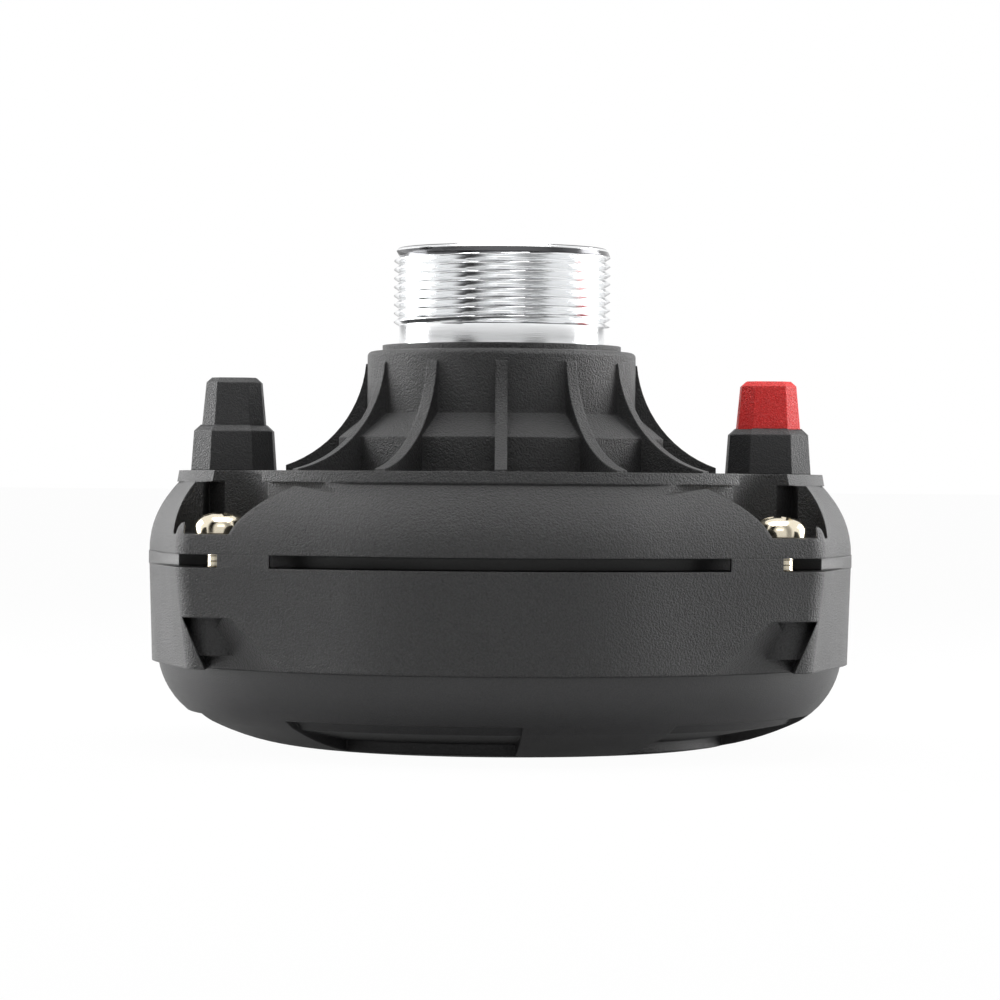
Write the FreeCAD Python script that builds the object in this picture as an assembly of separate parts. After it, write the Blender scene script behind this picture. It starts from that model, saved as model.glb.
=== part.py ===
"""Screw-on compression driver with a ribbed moulded housing.

Z runs up along the axis towards the threaded throat, and z = 0 is the flat of the rear cap.
The front of the model is -Y. Lengths are in millimetres.
"""
import FreeCAD, Part
import math
import os

from FreeCAD import Vector

Z_AXIS = Vector(0, 0, 1)
ORIGIN = Vector(0, 0, 0)

# Heights of the stack
cap_height = 13.6
shell_height = 15.5
frame_thickness = 2.0
housing_depth = 12.8
collar_height = 19.4
seat_ring_height = 1.0
relief_height = 3.1
thread_length = 11.4
tip_chamfer_height = 0.8
tip_land_height = 0.4

shell_top = cap_height + shell_height
frame_top = shell_top + frame_thickness
disc_top = frame_top + housing_depth
collar_top = disc_top + collar_height
seat_top = collar_top + seat_ring_height
thread_start = seat_top + relief_height
thread_end = thread_start + thread_length
throat_top = thread_end + tip_chamfer_height + tip_land_height

# Outer form of the housings
body_radius = 56.45
seam_step = 0.5
seam_radius = body_radius - seam_step
ear_stand = 6.6
ear_reach = body_radius + ear_stand
seam_ear_stand = 4.9
seam_ear_reach = seam_radius + seam_ear_stand
ear_angle = 51.0
ear_corner_radius = 4.0
disc_inset = 4.65
disc_radius = body_radius - disc_inset
disc_draft = 0.3
shoulder_height = 11.0
shoulder_power = 2.2
shoulder_sections = 5
ledge_thickness = 3.0

# Screw pockets, measured from the ear's corner and from the body circle
pocket_wing_inset = 1.1
pocket_wing_lean = 0.161
pocket_back_angle = 48.0
pocket_back_inset = 6.85
pocket_front_stand = 3.3
pocket_mouth_inset = 6.0
pocket_knee_inset = 18.0
pocket_knee_stand = 0.5
pocket_rim_inset = 25.0

# Hub, collar and ribs
hub_radius = 26.2
hub_wall_height = 5.5
hub_slope_height = 3.8
collar_radius = 21.65
collar_rounding = 0.8
seat_ring_radius = 19.25
seat_ring_gap = 0.25
seat_ring_step = 0.6
rib_count = 12
rib_thickness = 1.9
rib_arc_radius = 19.0
rib_arc_centre = 40.8
rib_top_drop = 2.0
rib_toe_height = 0.35
rib_root_radius = 18.7
rib_sink = 1.0
side_rib_reach = 34.7

# Throat tube
throat_bore_radius = 12.7
throat_bore_length = 20.0
thread_radius = 17.4625
relief_radius = 16.55
chamfer_inset = 0.35
neck_radius = 16.0
flange_radius = 29.9
flange_height = 8.0

# Screws and inserts
screw_across = 42.7
screw_depth = 34.0
screw_radius = 2.08
screw_length = 16.0
head_radius = 4.1
head_height = 3.3
head_rim = 1.0
head_shoulder_radius = 3.5
head_shoulder_height = 2.5
head_crown_radius = 2.2
recess_radius = 1.9
recess_width = 1.1
recess_depth = 2.0
insert_radius = 3.2
insert_length = 8.0
insert_gap = 0.6
boss_radius = 5.2
scallop_radius = 7.25

# Rear shell and cap
wall = 2.6
ear_gap = 2.3
ear_foot = 7.9
scoop_angle = 47.0
scoop_top_stand = 2.45
scoop_seam_inset = 1.05
scoop_wall_top = 48.2
scoop_wall_seam = 44.6
hollow_edge = 41.9
hollow_rise = 2.4
hollow_depth = 36.5
tab_near = 34.6
tab_far = 42.7
tab_wall = 3.0
cap_inset = 1.05
cap_radius = seam_radius - cap_inset
cap_flat_radius = 30.0
cap_belly_radius = 42.0
cap_belly_height = 2.0
cap_knee_radius = 48.6
cap_knee_height = 4.6
cap_side_radius = 52.9
cap_side_height = 8.6
cap_floor = 5.6
cap_bowl_gap = 2.5
cap_bowl_width = 3.0
cap_bowl_height = 3.6
cap_pocket_count = 5
cap_pocket_angle = 44.0
cap_pocket_inner = 36.5
cap_pocket_middle = 47.0
cap_pocket_outer = 50.3
cap_pocket_inner_height = 2.4
cap_pocket_middle_height = 4.4
cap_pocket_outer_height = 7.9
cap_lip_height = 2.0
cap_lip_wall = 1.6

# Motor
pad_thickness = 1.5
pad_radius = 44.0
yoke_radius = 46.0
yoke_thickness = 5.0
magnet_radius = 47.5
magnet_bore = 26.0
magnet_height = 12.0
plate_radius = 48.5
pole_radius = 21.6
plate_bore = 23.2
pole_vent = 5.0
felt_radius = 17.5
felt_thickness = 1.8

# Diaphragm assembly
ring_inset = 4.0
ring_radius = body_radius - ring_inset
ring_bore = 27.0
wing_proud = 0.1
wing_radius = body_radius + wing_proud
wing_half_width = 27.0
notch_gap = 1.0
coil_radius = 22.0
former_wall = 0.25
former_length = 8.4
winding_wall = 0.4
winding_length = 7.2
winding_offset = 0.9
dome_height = 6.0
dome_wall = 0.3
surround_wall = 0.3
surround_flat = 1.2
surround_roll = 1.5
surround_rise = 0.9
gasket_thickness = 0.6
gasket_width = 2.7

# Phase plug
plug_gap = 1.0
plug_rim_outer = 20.5
plug_rim_inner = 15.0
plug_ring_outer = 13.6
plug_ring_inner = 9.8
plug_core_radius = 8.6
plug_exit = 12.0
plug_height = 5.0
plug_mouth = 14.4
plug_slot_lean = 1.2
plug_taper = 7.0
recess_depth_under = 2.0
plug_edge = 0.5
plug_ring_taper = 2.4
plug_ring_rise = 3.5
plug_core_taper = 1.6
plug_core_rise = 4.0
plug_nose_radius = 1.0
plug_nose_height = 13.0
plug_web = 1.4
plug_web_count = 3
plug_web_rise = 2.5
plug_web_reach = 11.0

# Push terminals
terminal_x = 43.1
base_width = 13.4
base_top_width = 12.4
base_height = 7.4
base_chamfer = 3.3
base_bevel = 1.0
pocket_width = 10.3
pocket_depth = 4.6
stem_outer_radius = 4.5
stem_pocket_radius = 3.3
stem_floor = 1.0
stem_drop = 9.6
button_width = 10.0
button_top_width = 8.6
button_height = 7.6
button_chamfer = 2.2
button_bevel = 0.8
button_skirt = 1.3
button_travel = 3.0
plunger_radius = 1.7
plunger_length = 8.0
slit_width = 1.0
slit_depth = 1.0
slit_foot = 1.6
slit_height = 3.0
wire_hole_radius = 1.3
wire_hole_height = 1.4
spring_reach = 2.2
spring_strip = 0.35
spring_width = 3.0
spring_folds = 5
blade_width = 2.0
blade_thickness = 0.3
blade_gap = 0.25
blade_rise = 1.5
lead_width = 2.0
lead_thickness = 0.3
lead_channel_height = 3.4
lead_side_gap = 0.4

# Clearances
slip = 0.1
running = 0.05

ear_signs = [(1, -1), (-1, -1), (-1, 1), (1, 1)]


def tube(outer, inner, low, high):
    """A ring between two heights, or a disc where the inner radius is 0."""
    solid = Part.makeCylinder(outer, high - low, Vector(0, 0, low))
    if inner > 0:
        solid = solid.cut(Part.makeCylinder(inner, high - low, Vector(0, 0, low)))
    return solid


def revolve(points):
    """Turn a closed outline of (radius, height) points round the axis."""
    corners = [Vector(r, 0, z) for r, z in points]
    face = Part.Face(Part.makePolygon(corners + corners[:1]))
    return face.revolve(ORIGIN, Z_AXIS, 360)


def box(x0, x1, y0, y1, z0, z1):
    """A box between two corners."""
    return Part.makeBox(x1 - x0, y1 - y0, z1 - z0, Vector(x0, y0, z0))


def prism(points, low, high):
    """An upright prism over a plan of (x, y) points."""
    corners = [Vector(x, y, low) for x, y in points]
    face = Part.Face(Part.makePolygon(corners + corners[:1]))
    return face.extrude(Vector(0, 0, high - low))


def polar(radius, degrees):
    """Plan position at an angle from the front, positive to the right."""
    turn = math.radians(degrees)
    return radius * math.sin(turn), -radius * math.cos(turn)


def eared_wire(radius, reach, height):
    """The body circle with four ears: tangents to the circle that meet in rounded corners."""
    half = math.degrees(math.acos(radius / reach))
    slope = math.asin(radius / reach)
    setback = ear_corner_radius / math.tan(slope)
    tip_inset = ear_corner_radius / math.sin(slope) - ear_corner_radius
    corners = [ear_angle, 180 - ear_angle, 180 + ear_angle, 360 - ear_angle]
    edges = []
    for i, angle in enumerate(corners):
        near = Vector(*polar(radius, angle - half), height)
        far = Vector(*polar(radius, angle + half), height)
        corner = Vector(*polar(reach, angle), height)
        tip = Vector(*polar(reach - tip_inset, angle), height)
        start = corner + (near - corner).normalize() * setback
        end = corner + (far - corner).normalize() * setback
        following = corners[(i + 1) % len(corners)] + (360 if i == len(corners) - 1 else 0)
        between = Vector(*polar(radius, (angle + following) / 2), height)
        next_near = Vector(*polar(radius, following - half), height)
        edges += [
            Part.makeLine(near, start),
            Part.Arc(start, tip, end).toShape(),
            Part.makeLine(end, far),
            Part.Arc(far, between, next_near).toShape(),
        ]
    return Part.Wire(edges)


def shoulder_body():
    """Loft up the shoulder, which leans in ever faster from the ledge to the disc."""
    sections = []
    for i in range(shoulder_sections):
        rise = i / (shoulder_sections - 1)
        inset = (body_radius - disc_radius) * rise ** shoulder_power
        height = frame_top + shoulder_height * rise
        sections.append(eared_wire(body_radius - inset, ear_reach - inset, height))
    return Part.makeLoft(sections, True, False)


def ear_pocket_plan(sx, sy):
    """The screw pocket: a back wall across the ear, a front wall behind the bulge, open at the corner."""
    corner_x, corner_y = polar(ear_reach, ear_angle)
    corner_y = -corner_y
    front_y = corner_y + pocket_front_stand
    outer_y = front_y + pocket_mouth_inset
    turn = math.radians(pocket_back_angle)
    back = body_radius - pocket_back_inset
    wing_foot = corner_x - pocket_wing_inset - corner_y * pocket_wing_lean
    wing_y = (back - wing_foot * math.sin(turn)) / (math.cos(turn) + pocket_wing_lean * math.sin(turn))
    rim_x = corner_x - pocket_rim_inset
    plan = [
        (wing_foot + wing_y * pocket_wing_lean, wing_y),
        (rim_x, (back - rim_x * math.sin(turn)) / math.cos(turn)),
        (corner_x - pocket_knee_inset, front_y + pocket_knee_stand),
        (corner_x - pocket_mouth_inset, front_y),
        (wing_foot + outer_y * pocket_wing_lean, outer_y),
    ]
    return [(sx * x, sy * y) for x, y in plan]


def screw_places():
    """Centres of the four screws in plan."""
    return [(sx * screw_across, sy * screw_depth) for sx, sy in ear_signs]


def rib(angle):
    """One curved rib from the collar down to the disc, with a concave arc as its outer edge."""
    foot = disc_top - rib_sink
    top = collar_top - rib_top_drop
    centre = Vector(rib_arc_centre, 0, disc_top + rib_arc_radius)
    start = math.sqrt(rib_arc_radius ** 2 - (top - centre.z) ** 2)
    arc_top = Vector(centre.x - start, 0, top)
    drop = math.sqrt(rib_arc_radius ** 2 - (rib_arc_radius - rib_toe_height) ** 2)
    arc_foot = Vector(centre.x - drop, 0, disc_top + rib_toe_height)
    middle_turn = math.atan2((arc_top.z + arc_foot.z) / 2 - centre.z, (arc_top.x + arc_foot.x) / 2 - centre.x)
    arc_middle = Vector(centre.x + rib_arc_radius * math.cos(middle_turn), 0,
                        centre.z + rib_arc_radius * math.sin(middle_turn))
    inner = rib_root_radius
    edges = [
        Part.Arc(arc_top, arc_middle, arc_foot).toShape(),
        Part.makeLine(arc_foot, Vector(arc_foot.x, 0, foot)),
        Part.makeLine(Vector(arc_foot.x, 0, foot), Vector(inner, 0, foot)),
        Part.makeLine(Vector(inner, 0, foot), Vector(inner, 0, top)),
        Part.makeLine(Vector(inner, 0, top), arc_top),
    ]
    face = Part.Face(Part.Wire(edges))
    solid = face.extrude(Vector(0, rib_thickness, 0))
    solid.translate(Vector(0, -rib_thickness / 2, 0))
    if angle % 180 == 0:
        solid = solid.common(tube(side_rib_reach, 0, 0, throat_top))
    solid.rotate(ORIGIN, Z_AXIS, angle)
    return solid


def hub():
    """Hub wall, sloped band, collar with a rounded shoulder and the raised seat ring."""
    wall_top = disc_top + hub_wall_height
    slope_top = wall_top + hub_slope_height
    mid = collar_rounding * (1 - math.sqrt(0.5))
    base = disc_top - rib_sink
    outline = [
        Part.makeLine(Vector(0, 0, base), Vector(hub_radius, 0, base)),
        Part.makeLine(Vector(hub_radius, 0, base), Vector(hub_radius, 0, wall_top)),
        Part.makeLine(Vector(hub_radius, 0, wall_top), Vector(collar_radius, 0, slope_top)),
        Part.makeLine(Vector(collar_radius, 0, slope_top),
                      Vector(collar_radius, 0, collar_top - collar_rounding)),
        Part.Arc(Vector(collar_radius, 0, collar_top - collar_rounding),
                 Vector(collar_radius - mid, 0, collar_top - mid),
                 Vector(collar_radius - collar_rounding, 0, collar_top)).toShape(),
        Part.makeLine(Vector(collar_radius - collar_rounding, 0, collar_top),
                      Vector(seat_ring_radius, 0, collar_top)),
        Part.makeLine(Vector(seat_ring_radius, 0, collar_top), Vector(seat_ring_radius, 0, seat_top)),
        Part.makeLine(Vector(seat_ring_radius, 0, seat_top), Vector(0, 0, seat_top)),
        Part.makeLine(Vector(0, 0, seat_top), Vector(0, 0, base)),
    ]
    return Part.Face(Part.Wire(outline)).revolve(ORIGIN, Z_AXIS, 360)


def front_housing():
    """The moulded front: disc, shoulder, four pocketed ears, hub and ribs."""
    disc_low = frame_top + shoulder_height
    solid = shoulder_body()
    for sx, sy in ear_signs:
        solid = solid.cut(prism(ear_pocket_plan(sx, sy), frame_top + ledge_thickness, disc_low))
    disc = Part.makeCone(disc_radius + disc_draft, disc_radius, disc_top - disc_low, Vector(0, 0, disc_low))
    solid = solid.fuse(disc).fuse(hub())
    for i in range(rib_count):
        solid = solid.fuse(rib(i * 360 / rib_count))
    for x, y in screw_places():
        ledge = frame_top + ledge_thickness
        solid = solid.cut(Part.makeCylinder(scallop_radius, disc_top - ledge + 1, Vector(x, y, ledge)))
        solid = solid.cut(Part.makeCylinder(screw_radius + slip, disc_top, Vector(x, y, frame_top - 1)))
    solid = solid.cut(Part.makeCylinder(neck_radius + running, throat_top, ORIGIN))
    seat_step = Vector(0, 0, seat_top - seat_ring_step)
    solid = solid.cut(Part.makeCylinder(thread_radius + seat_ring_gap, seat_ring_height, seat_step))
    solid = solid.cut(Part.makeCylinder(flange_radius + slip, flange_top() + slip, ORIGIN))
    for side in (1, -1):
        x = side * terminal_x
        solid = solid.cut(Part.makeCylinder(stem_outer_radius + slip, disc_top, Vector(x, 0, frame_top - 1)))
        near, far = sorted((side * (flange_radius - 1), x))
        half = lead_width / 2 + lead_side_gap
        solid = solid.cut(box(near, far, -half, half, frame_top - 1, frame_top + lead_channel_height))
    return solid.removeSplitter()


def plug_base():
    """Height where the throat flange sits on the gasket."""
    return frame_top + surround_wall + gasket_thickness


def flange_top():
    """Height of the top of the throat flange, the ceiling of the housing's cavity."""
    return plug_base() + flange_height


def scoop(sx, sy):
    """The hollow under one rear ear: a face that leans out from the seam, and a side wall."""
    turn = math.radians(scoop_angle)
    levels = [
        (0.0, seam_radius - scoop_seam_inset, scoop_wall_seam),
        (ear_foot, body_radius + scoop_top_stand, scoop_wall_top),
    ]
    sections = []
    for rise, distance, wall_x in levels:
        near_y = (distance - wall_x * math.sin(turn)) / math.cos(turn)
        reach_x = (distance - ear_reach * math.cos(turn)) / math.sin(turn)
        plan = [(wall_x, near_y), (reach_x, ear_reach), (wall_x, ear_reach)]
        corners = [Vector(sx * x, sy * y, cap_height + rise) for x, y in plan]
        sections.append(Part.makePolygon(corners + corners[:1]))
    return Part.makeLoft(sections, True, True)


def scoop_hollow(sx, sy):
    """The deeper wedge beside the scoop's wall, in front of the screw boss."""
    share = hollow_rise / ear_foot
    wall_x = scoop_wall_seam + (scoop_wall_top - scoop_wall_seam) * share
    outline = [(scoop_wall_top, ear_foot), (hollow_edge, ear_foot), (wall_x, hollow_rise)]
    corners = [Vector(sx * x, sy * hollow_depth, cap_height + rise) for x, rise in outline]
    face = Part.Face(Part.makePolygon(corners + corners[:1]))
    return face.extrude(Vector(0, sy * (ear_reach - hollow_depth), 0))


def shell_tab(sx, sy):
    """A tab that rises from the rear ear to the front housing and closes the slot beside the screw."""
    outer = Part.Face(eared_wire(body_radius, ear_reach, shell_top))
    inner = Part.Face(eared_wire(body_radius - tab_wall, ear_reach - tab_wall, shell_top))
    skirt = outer.cut(inner).extrude(Vector(0, 0, frame_thickness))
    near, far = sorted((sx * tab_near, sx * tab_far))
    front, back = sorted((sy * screw_depth, sy * ear_reach))
    return skirt.common(box(near, far, front, back, shell_top, frame_top))


def rear_shell():
    """The eared rear ring, with screw bosses, tabs up to the front housing and scooped ears."""
    low = eared_wire(seam_radius, seam_ear_reach, cap_height)
    high = eared_wire(body_radius, ear_reach, shell_top)
    outer = Part.makeLoft([low, high], True, True)
    boss_foot = cap_height + cap_lip_height + slip
    solid = outer
    for sx, sy in ear_signs:
        solid = solid.cut(scoop(sx, sy)).cut(scoop_hollow(sx, sy))
    solid = solid.cut(tube(seam_radius - wall, 0, cap_height, shell_top))
    for x, y in screw_places():
        boss = Part.makeCylinder(boss_radius, shell_top - boss_foot, Vector(x, y, boss_foot))
        solid = solid.fuse(boss.common(outer))
    for sx, sy in ear_signs:
        solid = solid.fuse(shell_tab(sx, sy))
    for x, y in screw_places():
        screw_foot = frame_top + ledge_thickness - screw_length - insert_gap
        solid = solid.cut(Part.makeCylinder(screw_radius + slip, shell_height, Vector(x, y, screw_foot)))
        insert_foot = shell_top - insert_gap - insert_length
        seat = Part.makeCylinder(insert_radius + running, shell_height, Vector(x, y, insert_foot))
        solid = solid.cut(seat)
    return solid.removeSplitter()


def screws():
    """Four pan-head machine screws with a cross recess."""
    seat = frame_top + ledge_thickness
    top = seat + head_height
    head = revolve([(0, seat), (head_radius, seat), (head_radius, seat + head_rim),
                    (head_shoulder_radius, seat + head_shoulder_height), (head_crown_radius, top), (0, top)])
    for turn in (0, 90):
        arm = box(-recess_radius, recess_radius, -recess_width / 2, recess_width / 2,
                  top - recess_depth, top + 1)
        arm.rotate(ORIGIN, Z_AXIS, turn)
        head = head.cut(arm)
    screw = head.fuse(tube(screw_radius, 0, seat - screw_length, seat)).removeSplitter()
    return Part.makeCompound([screw.translated(Vector(x, y, 0)) for x, y in screw_places()])


def inserts():
    """Four threaded brass inserts in the rear bosses."""
    top = shell_top - insert_gap
    sleeve = tube(insert_radius, screw_radius + running, top - insert_length, top)
    return Part.makeCompound([sleeve.translated(Vector(x, y, 0)) for x, y in screw_places()])


def cap_pocket(angle):
    """One moulded recess in the sloping part of the cap's underside, a sector with a rising floor."""
    half = cap_pocket_angle / 2
    ring = revolve([(cap_pocket_inner, -1), (cap_pocket_inner, cap_pocket_inner_height),
                    (cap_pocket_middle, cap_pocket_middle_height),
                    (cap_pocket_outer, cap_pocket_outer_height), (cap_pocket_outer, -1)])
    reach = cap_pocket_outer * 2
    plan = [(0, 0), polar(reach, angle - half), polar(reach, angle + half)]
    return ring.common(prism(plan, -1, cap_pocket_outer_height))


def rear_cap():
    """The bowl-shaped rear cap, with a locating lip and recesses in its underside."""
    base_edge = Vector(cap_flat_radius, 0, 0)
    belly = Vector(cap_belly_radius, 0, cap_belly_height)
    knee = Vector(cap_knee_radius, 0, cap_knee_height)
    side = Vector(cap_side_radius, 0, cap_side_height)
    rim = Vector(cap_radius, 0, cap_height)
    inner_rim = Vector(seam_radius - wall - cap_lip_wall, 0, cap_height)
    bowl_foot = Vector(pad_radius + cap_bowl_gap, 0, cap_floor)
    bowl_top = bowl_foot + Vector(cap_bowl_width, 0, cap_bowl_height)
    edges = [
        Part.makeLine(ORIGIN, base_edge),
        Part.Arc(base_edge, belly, knee).toShape(),
        Part.Arc(knee, side, rim).toShape(),
        Part.makeLine(rim, inner_rim),
        Part.makeLine(inner_rim, bowl_top),
        Part.makeLine(bowl_top, bowl_foot),
        Part.makeLine(bowl_foot, Vector(0, 0, cap_floor)),
        Part.makeLine(Vector(0, 0, cap_floor), ORIGIN),
    ]
    solid = Part.Face(Part.Wire(edges)).revolve(ORIGIN, Z_AXIS, 360)
    lip_outer = seam_radius - wall - slip
    lip = tube(lip_outer, seam_radius - wall - cap_lip_wall, cap_height, cap_height + cap_lip_height)
    solid = solid.fuse(lip)
    for i in range(cap_pocket_count):
        solid = solid.cut(cap_pocket(-90 + i * 360 / cap_pocket_count))
    return solid.removeSplitter()


def motor_heights():
    """Feet of the yoke, the magnet and the top plate, and the top of the plate."""
    yoke = cap_floor + pad_thickness
    magnet = yoke + yoke_thickness
    plate = magnet + magnet_height
    return yoke, magnet, plate, shell_top


def yoke():
    """Back plate and vented pole, turned as one piece."""
    foot, seat, _, top = motor_heights()
    pole = tube(pole_radius, 0, foot, top)
    back = tube(yoke_radius, 0, foot, seat)
    return back.fuse(pole).cut(tube(pole_vent, 0, foot, top)).removeSplitter()


def diaphragm_ring():
    """The clamped plastic ring that carries the diaphragm, with a wing under each terminal."""
    solid = tube(ring_radius, 0, shell_top, frame_top)
    wings = tube(wing_radius, 0, shell_top, frame_top)
    span = wing_radius + 1
    wings = wings.common(box(-span, span, -wing_half_width, wing_half_width, shell_top, frame_top))
    solid = solid.fuse(wings).cut(tube(ring_bore, 0, shell_top, frame_top))
    for x, y in screw_places():
        notch = Part.makeCylinder(screw_radius + notch_gap, frame_thickness, Vector(x, y, shell_top))
        solid = solid.cut(notch)
    return solid.removeSplitter()


def dome_sphere(offset):
    """The ball whose top is the dome's outside, grown by an offset."""
    rim = coil_radius + former_wall
    radius = (rim ** 2 + dome_height ** 2) / (2 * dome_height)
    return Part.makeSphere(radius + offset, Vector(0, 0, frame_top + dome_height - radius))


def dome():
    """The thin domed diaphragm over the voice coil."""
    rim = coil_radius + former_wall
    blank = tube(rim, 0, frame_top, frame_top + dome_height + 1)
    return blank.common(dome_sphere(0)).cut(dome_sphere(-dome_wall))


def surround():
    """The ring-shaped surround: an inner flat, a raised fold and a clamped rim."""
    start = coil_radius + former_wall + slip
    roll = start + surround_flat
    crest = roll + surround_roll
    end = crest + surround_roll
    low = frame_top
    high = frame_top + surround_wall
    peak = high + surround_rise
    return revolve([
        (start, low), (roll, low), (crest, peak - surround_wall), (end, low), (flange_radius, low),
        (flange_radius, high), (end, high), (crest, peak), (roll, high), (start, high),
    ])


def plug_seat_radius():
    """Counterbore in the throat flange that takes the phase plug's rim."""
    return plug_rim_outer + running


def throat_tube():
    """The turned throat: flange, neck, relief, threaded nose and a straight exit bore."""
    base = plug_base()
    seat = base + plug_height
    recess = flange_radius - gasket_width
    bore_start = throat_top - throat_bore_length
    return revolve([
        (flange_radius, base), (flange_radius, flange_top()), (neck_radius, flange_top()),
        (neck_radius, seat_top), (relief_radius, seat_top), (relief_radius, thread_start),
        (thread_radius, thread_start), (thread_radius, thread_end),
        (thread_radius - chamfer_inset, thread_end + tip_chamfer_height),
        (thread_radius - 2 * chamfer_inset, throat_top), (throat_bore_radius, throat_top),
        (throat_bore_radius, bore_start), (plug_exit, seat + plug_taper),
        (plug_mouth, seat), (plug_seat_radius(), seat), (plug_seat_radius(), base + recess_depth_under),
        (recess, base + recess_depth_under), (recess, base),
    ])


def phase_plug():
    """Rim, ring and nosed core over the dome, joined by webs, with two ring slots between them."""
    base = frame_top
    seat = plug_base() + plug_height
    rim = revolve([(plug_rim_inner, base), (plug_rim_outer, base), (plug_rim_outer, seat), (plug_mouth, seat)])
    ring_top = seat + plug_ring_rise
    ring = revolve([(plug_ring_inner, base), (plug_ring_outer, base), (plug_ring_outer, seat - plug_edge),
                    (plug_ring_outer - plug_ring_taper, ring_top), (plug_ring_inner - plug_slot_lean, ring_top),
                    (plug_ring_inner, seat - plug_edge)])
    nose_top = seat + plug_nose_height
    core = revolve([(0, base), (plug_core_radius, base), (plug_core_radius, seat + plug_edge),
                    (plug_core_radius - plug_core_taper, seat + plug_core_rise), (plug_nose_radius, nose_top),
                    (0, nose_top)])
    solid = rim.fuse(ring).fuse(core)
    half = plug_web / 2
    for i in range(plug_web_count):
        low_web = box(0, (plug_rim_inner + plug_rim_outer) / 2, -half, half, base, seat)
        high_web = box(0, plug_web_reach, -half, half, base, seat + plug_web_rise)
        for web in (low_web, high_web):
            web.rotate(ORIGIN, Z_AXIS, 90 + i * 360 / plug_web_count)
            solid = solid.fuse(web)
    return solid.cut(dome_sphere(plug_gap)).removeSplitter()


def octagon(width, chamfer, height, x):
    """A chamfered square in plan, as a wire."""
    half = width / 2
    short = half - chamfer
    plan = [(half, -short), (half, short), (short, half), (-short, half),
            (-half, short), (-half, -short), (-short, -half), (short, -half)]
    corners = [Vector(x + px, py, height) for px, py in plan]
    return Part.makePolygon(corners + corners[:1])


def tapered_block(low_width, high_width, chamfer, low, high, bevel, x):
    """A drafted block with chamfered corners and a bevelled top."""
    sections = [octagon(low_width, chamfer, low, x), octagon(high_width, chamfer * high_width / low_width, high, x)]
    block = Part.makeLoft(sections, True, True)
    rim = [e for e in block.Edges if all(abs(v.Point.z - high) < 1e-6 for v in e.Vertexes)]
    return block.makeChamfer(bevel, rim)


def terminal_base(side):
    """Terminal body: the block on the disc, and a stem through the housing that holds the spring."""
    x = side * terminal_x
    top = disc_top + base_height
    foot = disc_top - stem_drop
    solid = tapered_block(base_width, base_top_width, base_chamfer, disc_top, top, base_bevel, x)
    stem = Part.makeCylinder(stem_outer_radius, stem_drop, Vector(x, 0, foot))
    solid = solid.fuse(stem)
    pocket_floor = top - pocket_depth
    pocket = Part.Face(octagon(pocket_width, button_chamfer, pocket_floor, x)).extrude(Vector(0, 0, pocket_depth))
    bore = Part.makeCylinder(stem_pocket_radius, pocket_floor - foot - stem_floor, Vector(x, 0, foot + stem_floor))
    solid = solid.cut(pocket).cut(bore)
    hole = Part.makeCylinder(wire_hole_radius, base_width, Vector(x, 0, disc_top + wire_hole_height),
                             Vector(side, 0, 0))
    near, far = sorted(blade_faces(side))
    half = blade_width / 2 + slip
    slot = box(near - slip, far + slip, -half, half, foot - 1, foot + stem_floor + 1)
    return solid.cut(hole).cut(slot).removeSplitter()


def button(side):
    """The push cap, with a skirt in the base's pocket and a plunger down to the spring."""
    x = side * terminal_x
    foot = disc_top + base_height
    top = foot + button_height
    solid = tapered_block(button_width, button_top_width, button_chamfer, foot, top, button_bevel, x)
    skirt = Part.Face(octagon(button_width, button_chamfer, foot - button_skirt, x))
    solid = solid.fuse(skirt.extrude(Vector(0, 0, button_skirt)))
    plunger_foot = foot - button_skirt - plunger_length
    solid = solid.fuse(Part.makeCylinder(plunger_radius, plunger_length, Vector(x, 0, plunger_foot)))
    inner_face = x - side * button_width / 2
    near, far = sorted((inner_face, inner_face + side * slit_depth))
    slit_low = foot + slit_foot
    slit = box(near, far, -slit_width / 2, slit_width / 2, slit_low, slit_low + slit_height)
    return solid.cut(slit).removeSplitter()


def spring_heights():
    """Foot and top of the return spring, between the stem's floor and the plunger."""
    foot = disc_top - stem_drop + stem_floor
    top = disc_top + base_height - button_skirt - plunger_length
    return foot, top


def return_spring(side):
    """The folded leaf spring under one push cap: flat leaves joined at alternate ends."""
    low, high = spring_heights()
    pitch = (high - low - spring_strip) / spring_folds
    half = spring_width / 2
    x0 = side * terminal_x
    solid = None
    for i in range(spring_folds + 1):
        z = low + i * pitch
        leaf = box(x0 - spring_reach, x0 + spring_reach, -half, half, z, z + spring_strip)
        solid = leaf if solid is None else solid.fuse(leaf)
        if i < spring_folds:
            bend = x0 + (spring_reach if i % 2 else -spring_reach)
            near, far = sorted((bend, bend - math.copysign(spring_strip, bend - x0)))
            solid = solid.fuse(box(near, far, -half, half, z, z + pitch + spring_strip))
    return solid.removeSplitter()


def blade_faces(side):
    """The contact blade's faces along X: the one towards the axis, and the one towards the spring."""
    inner = side * (terminal_x - stem_pocket_radius + blade_gap)
    return inner, inner + side * blade_thickness


def contact_blade(side):
    """The upright contact strip beside the spring."""
    near, far = sorted(blade_faces(side))
    half = blade_width / 2
    top = disc_top + wire_hole_height + blade_rise
    return box(near, far, -half, half, frame_top + lead_thickness, top)


def coil_lead(side):
    """The flat lead from the diaphragm's rim to the foot of the contact blade."""
    near, far = sorted((side * (flange_radius + slip), blade_faces(side)[1]))
    half = lead_width / 2
    return box(near, far, -half, half, frame_top, frame_top + lead_thickness)


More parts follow.
